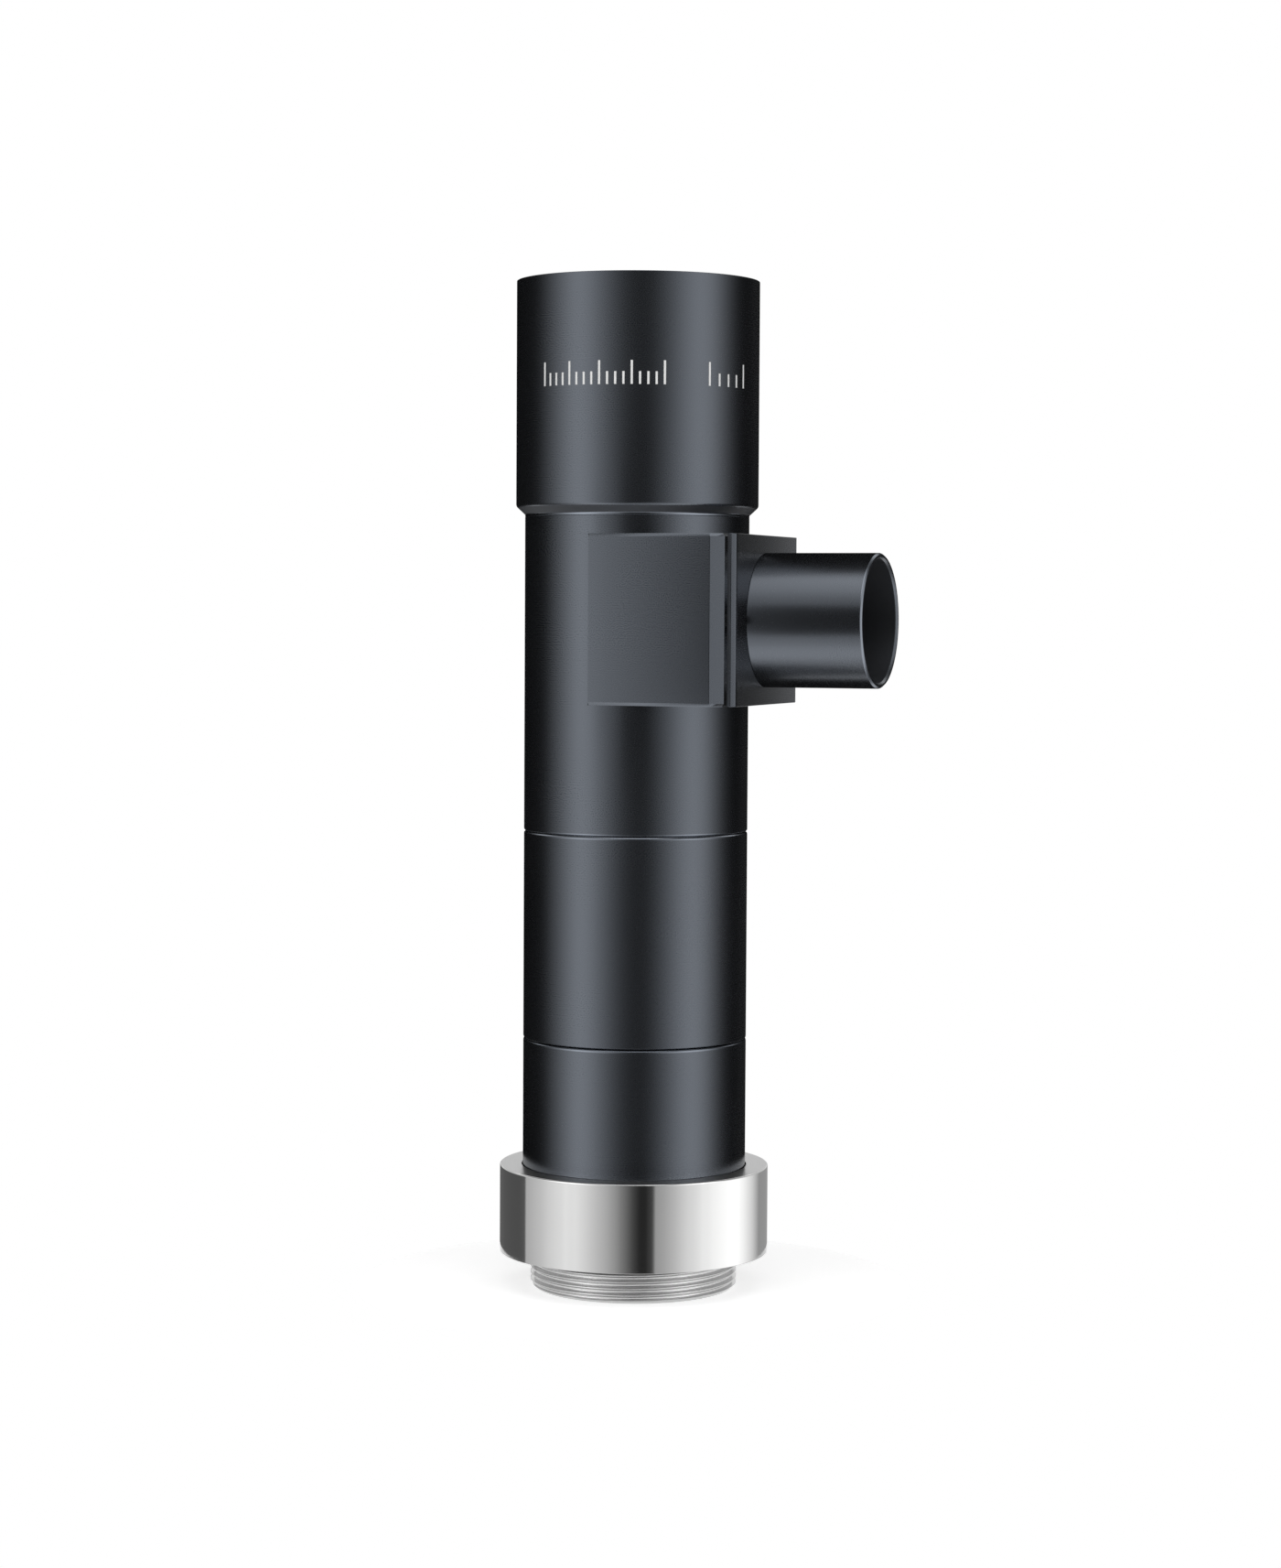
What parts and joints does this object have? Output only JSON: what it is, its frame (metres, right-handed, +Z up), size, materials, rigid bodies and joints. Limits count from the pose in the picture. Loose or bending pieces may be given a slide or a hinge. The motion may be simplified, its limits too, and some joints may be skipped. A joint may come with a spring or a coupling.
{
  "type": "coaxial telecentric lens",
  "caption": "Slim telecentric lens with a wider front barrel, a square side block with a sleeve for in-line light, and a plated camera mount.",
  "frame": {"origin": "on the plane of the mount thread's end, under the middle of the whole lens's box; the lens axis stands 7.25 mm towards -X", "axes": "+Z up the lens axis from the camera to the object, +X along the light port"},
  "size_m": [0.0474, 0.033, 0.123],
  "materials": {
    "black_anodised": "satin",
    "black_steel": "satin",
    "satin_plating": "polished",
    "coated_glass": "polished"
  },
  "bodies": {
    "root": {"front_barrel": "black_anodised", "main_barrel": "black_anodised", "middle_barrel": "black_anodised", "rear_barrel": "black_anodised", "light_port_plate": "black_anodised", "light_port_sleeve": "black_anodised", "front_spacer_ring": "black_anodised", "front_retaining_ring": "black_anodised", "beamsplitter_cell": "black_anodised", "beamsplitter_retaining_ring": "black_anodised", "aperture_stop": "black_anodised", "stop_retaining_ring": "black_anodised", "rear_doublet_retaining_ring": "black_anodised", "rear_baffle": "black_anodised", "rear_element_retaining_ring": "black_anodised", "front_doublet_flint": "coated_glass", "front_doublet_crown": "coated_glass", "front_element": "coated_glass", "condenser_lens": "coated_glass", "beamsplitter_upper_prism": "coated_glass", "beamsplitter_lower_prism": "coated_glass", "rear_doublet_flint": "coated_glass", "rear_doublet_crown": "coated_glass", "rear_element": "coated_glass", "port_dowel_near": "black_steel", "port_dowel_far": "black_steel", "cell_grub_screw_upper": "black_steel", "cell_grub_screw_lower": "black_steel", "camera_mount": "satin_plating"}
  },
  "joints": []
}
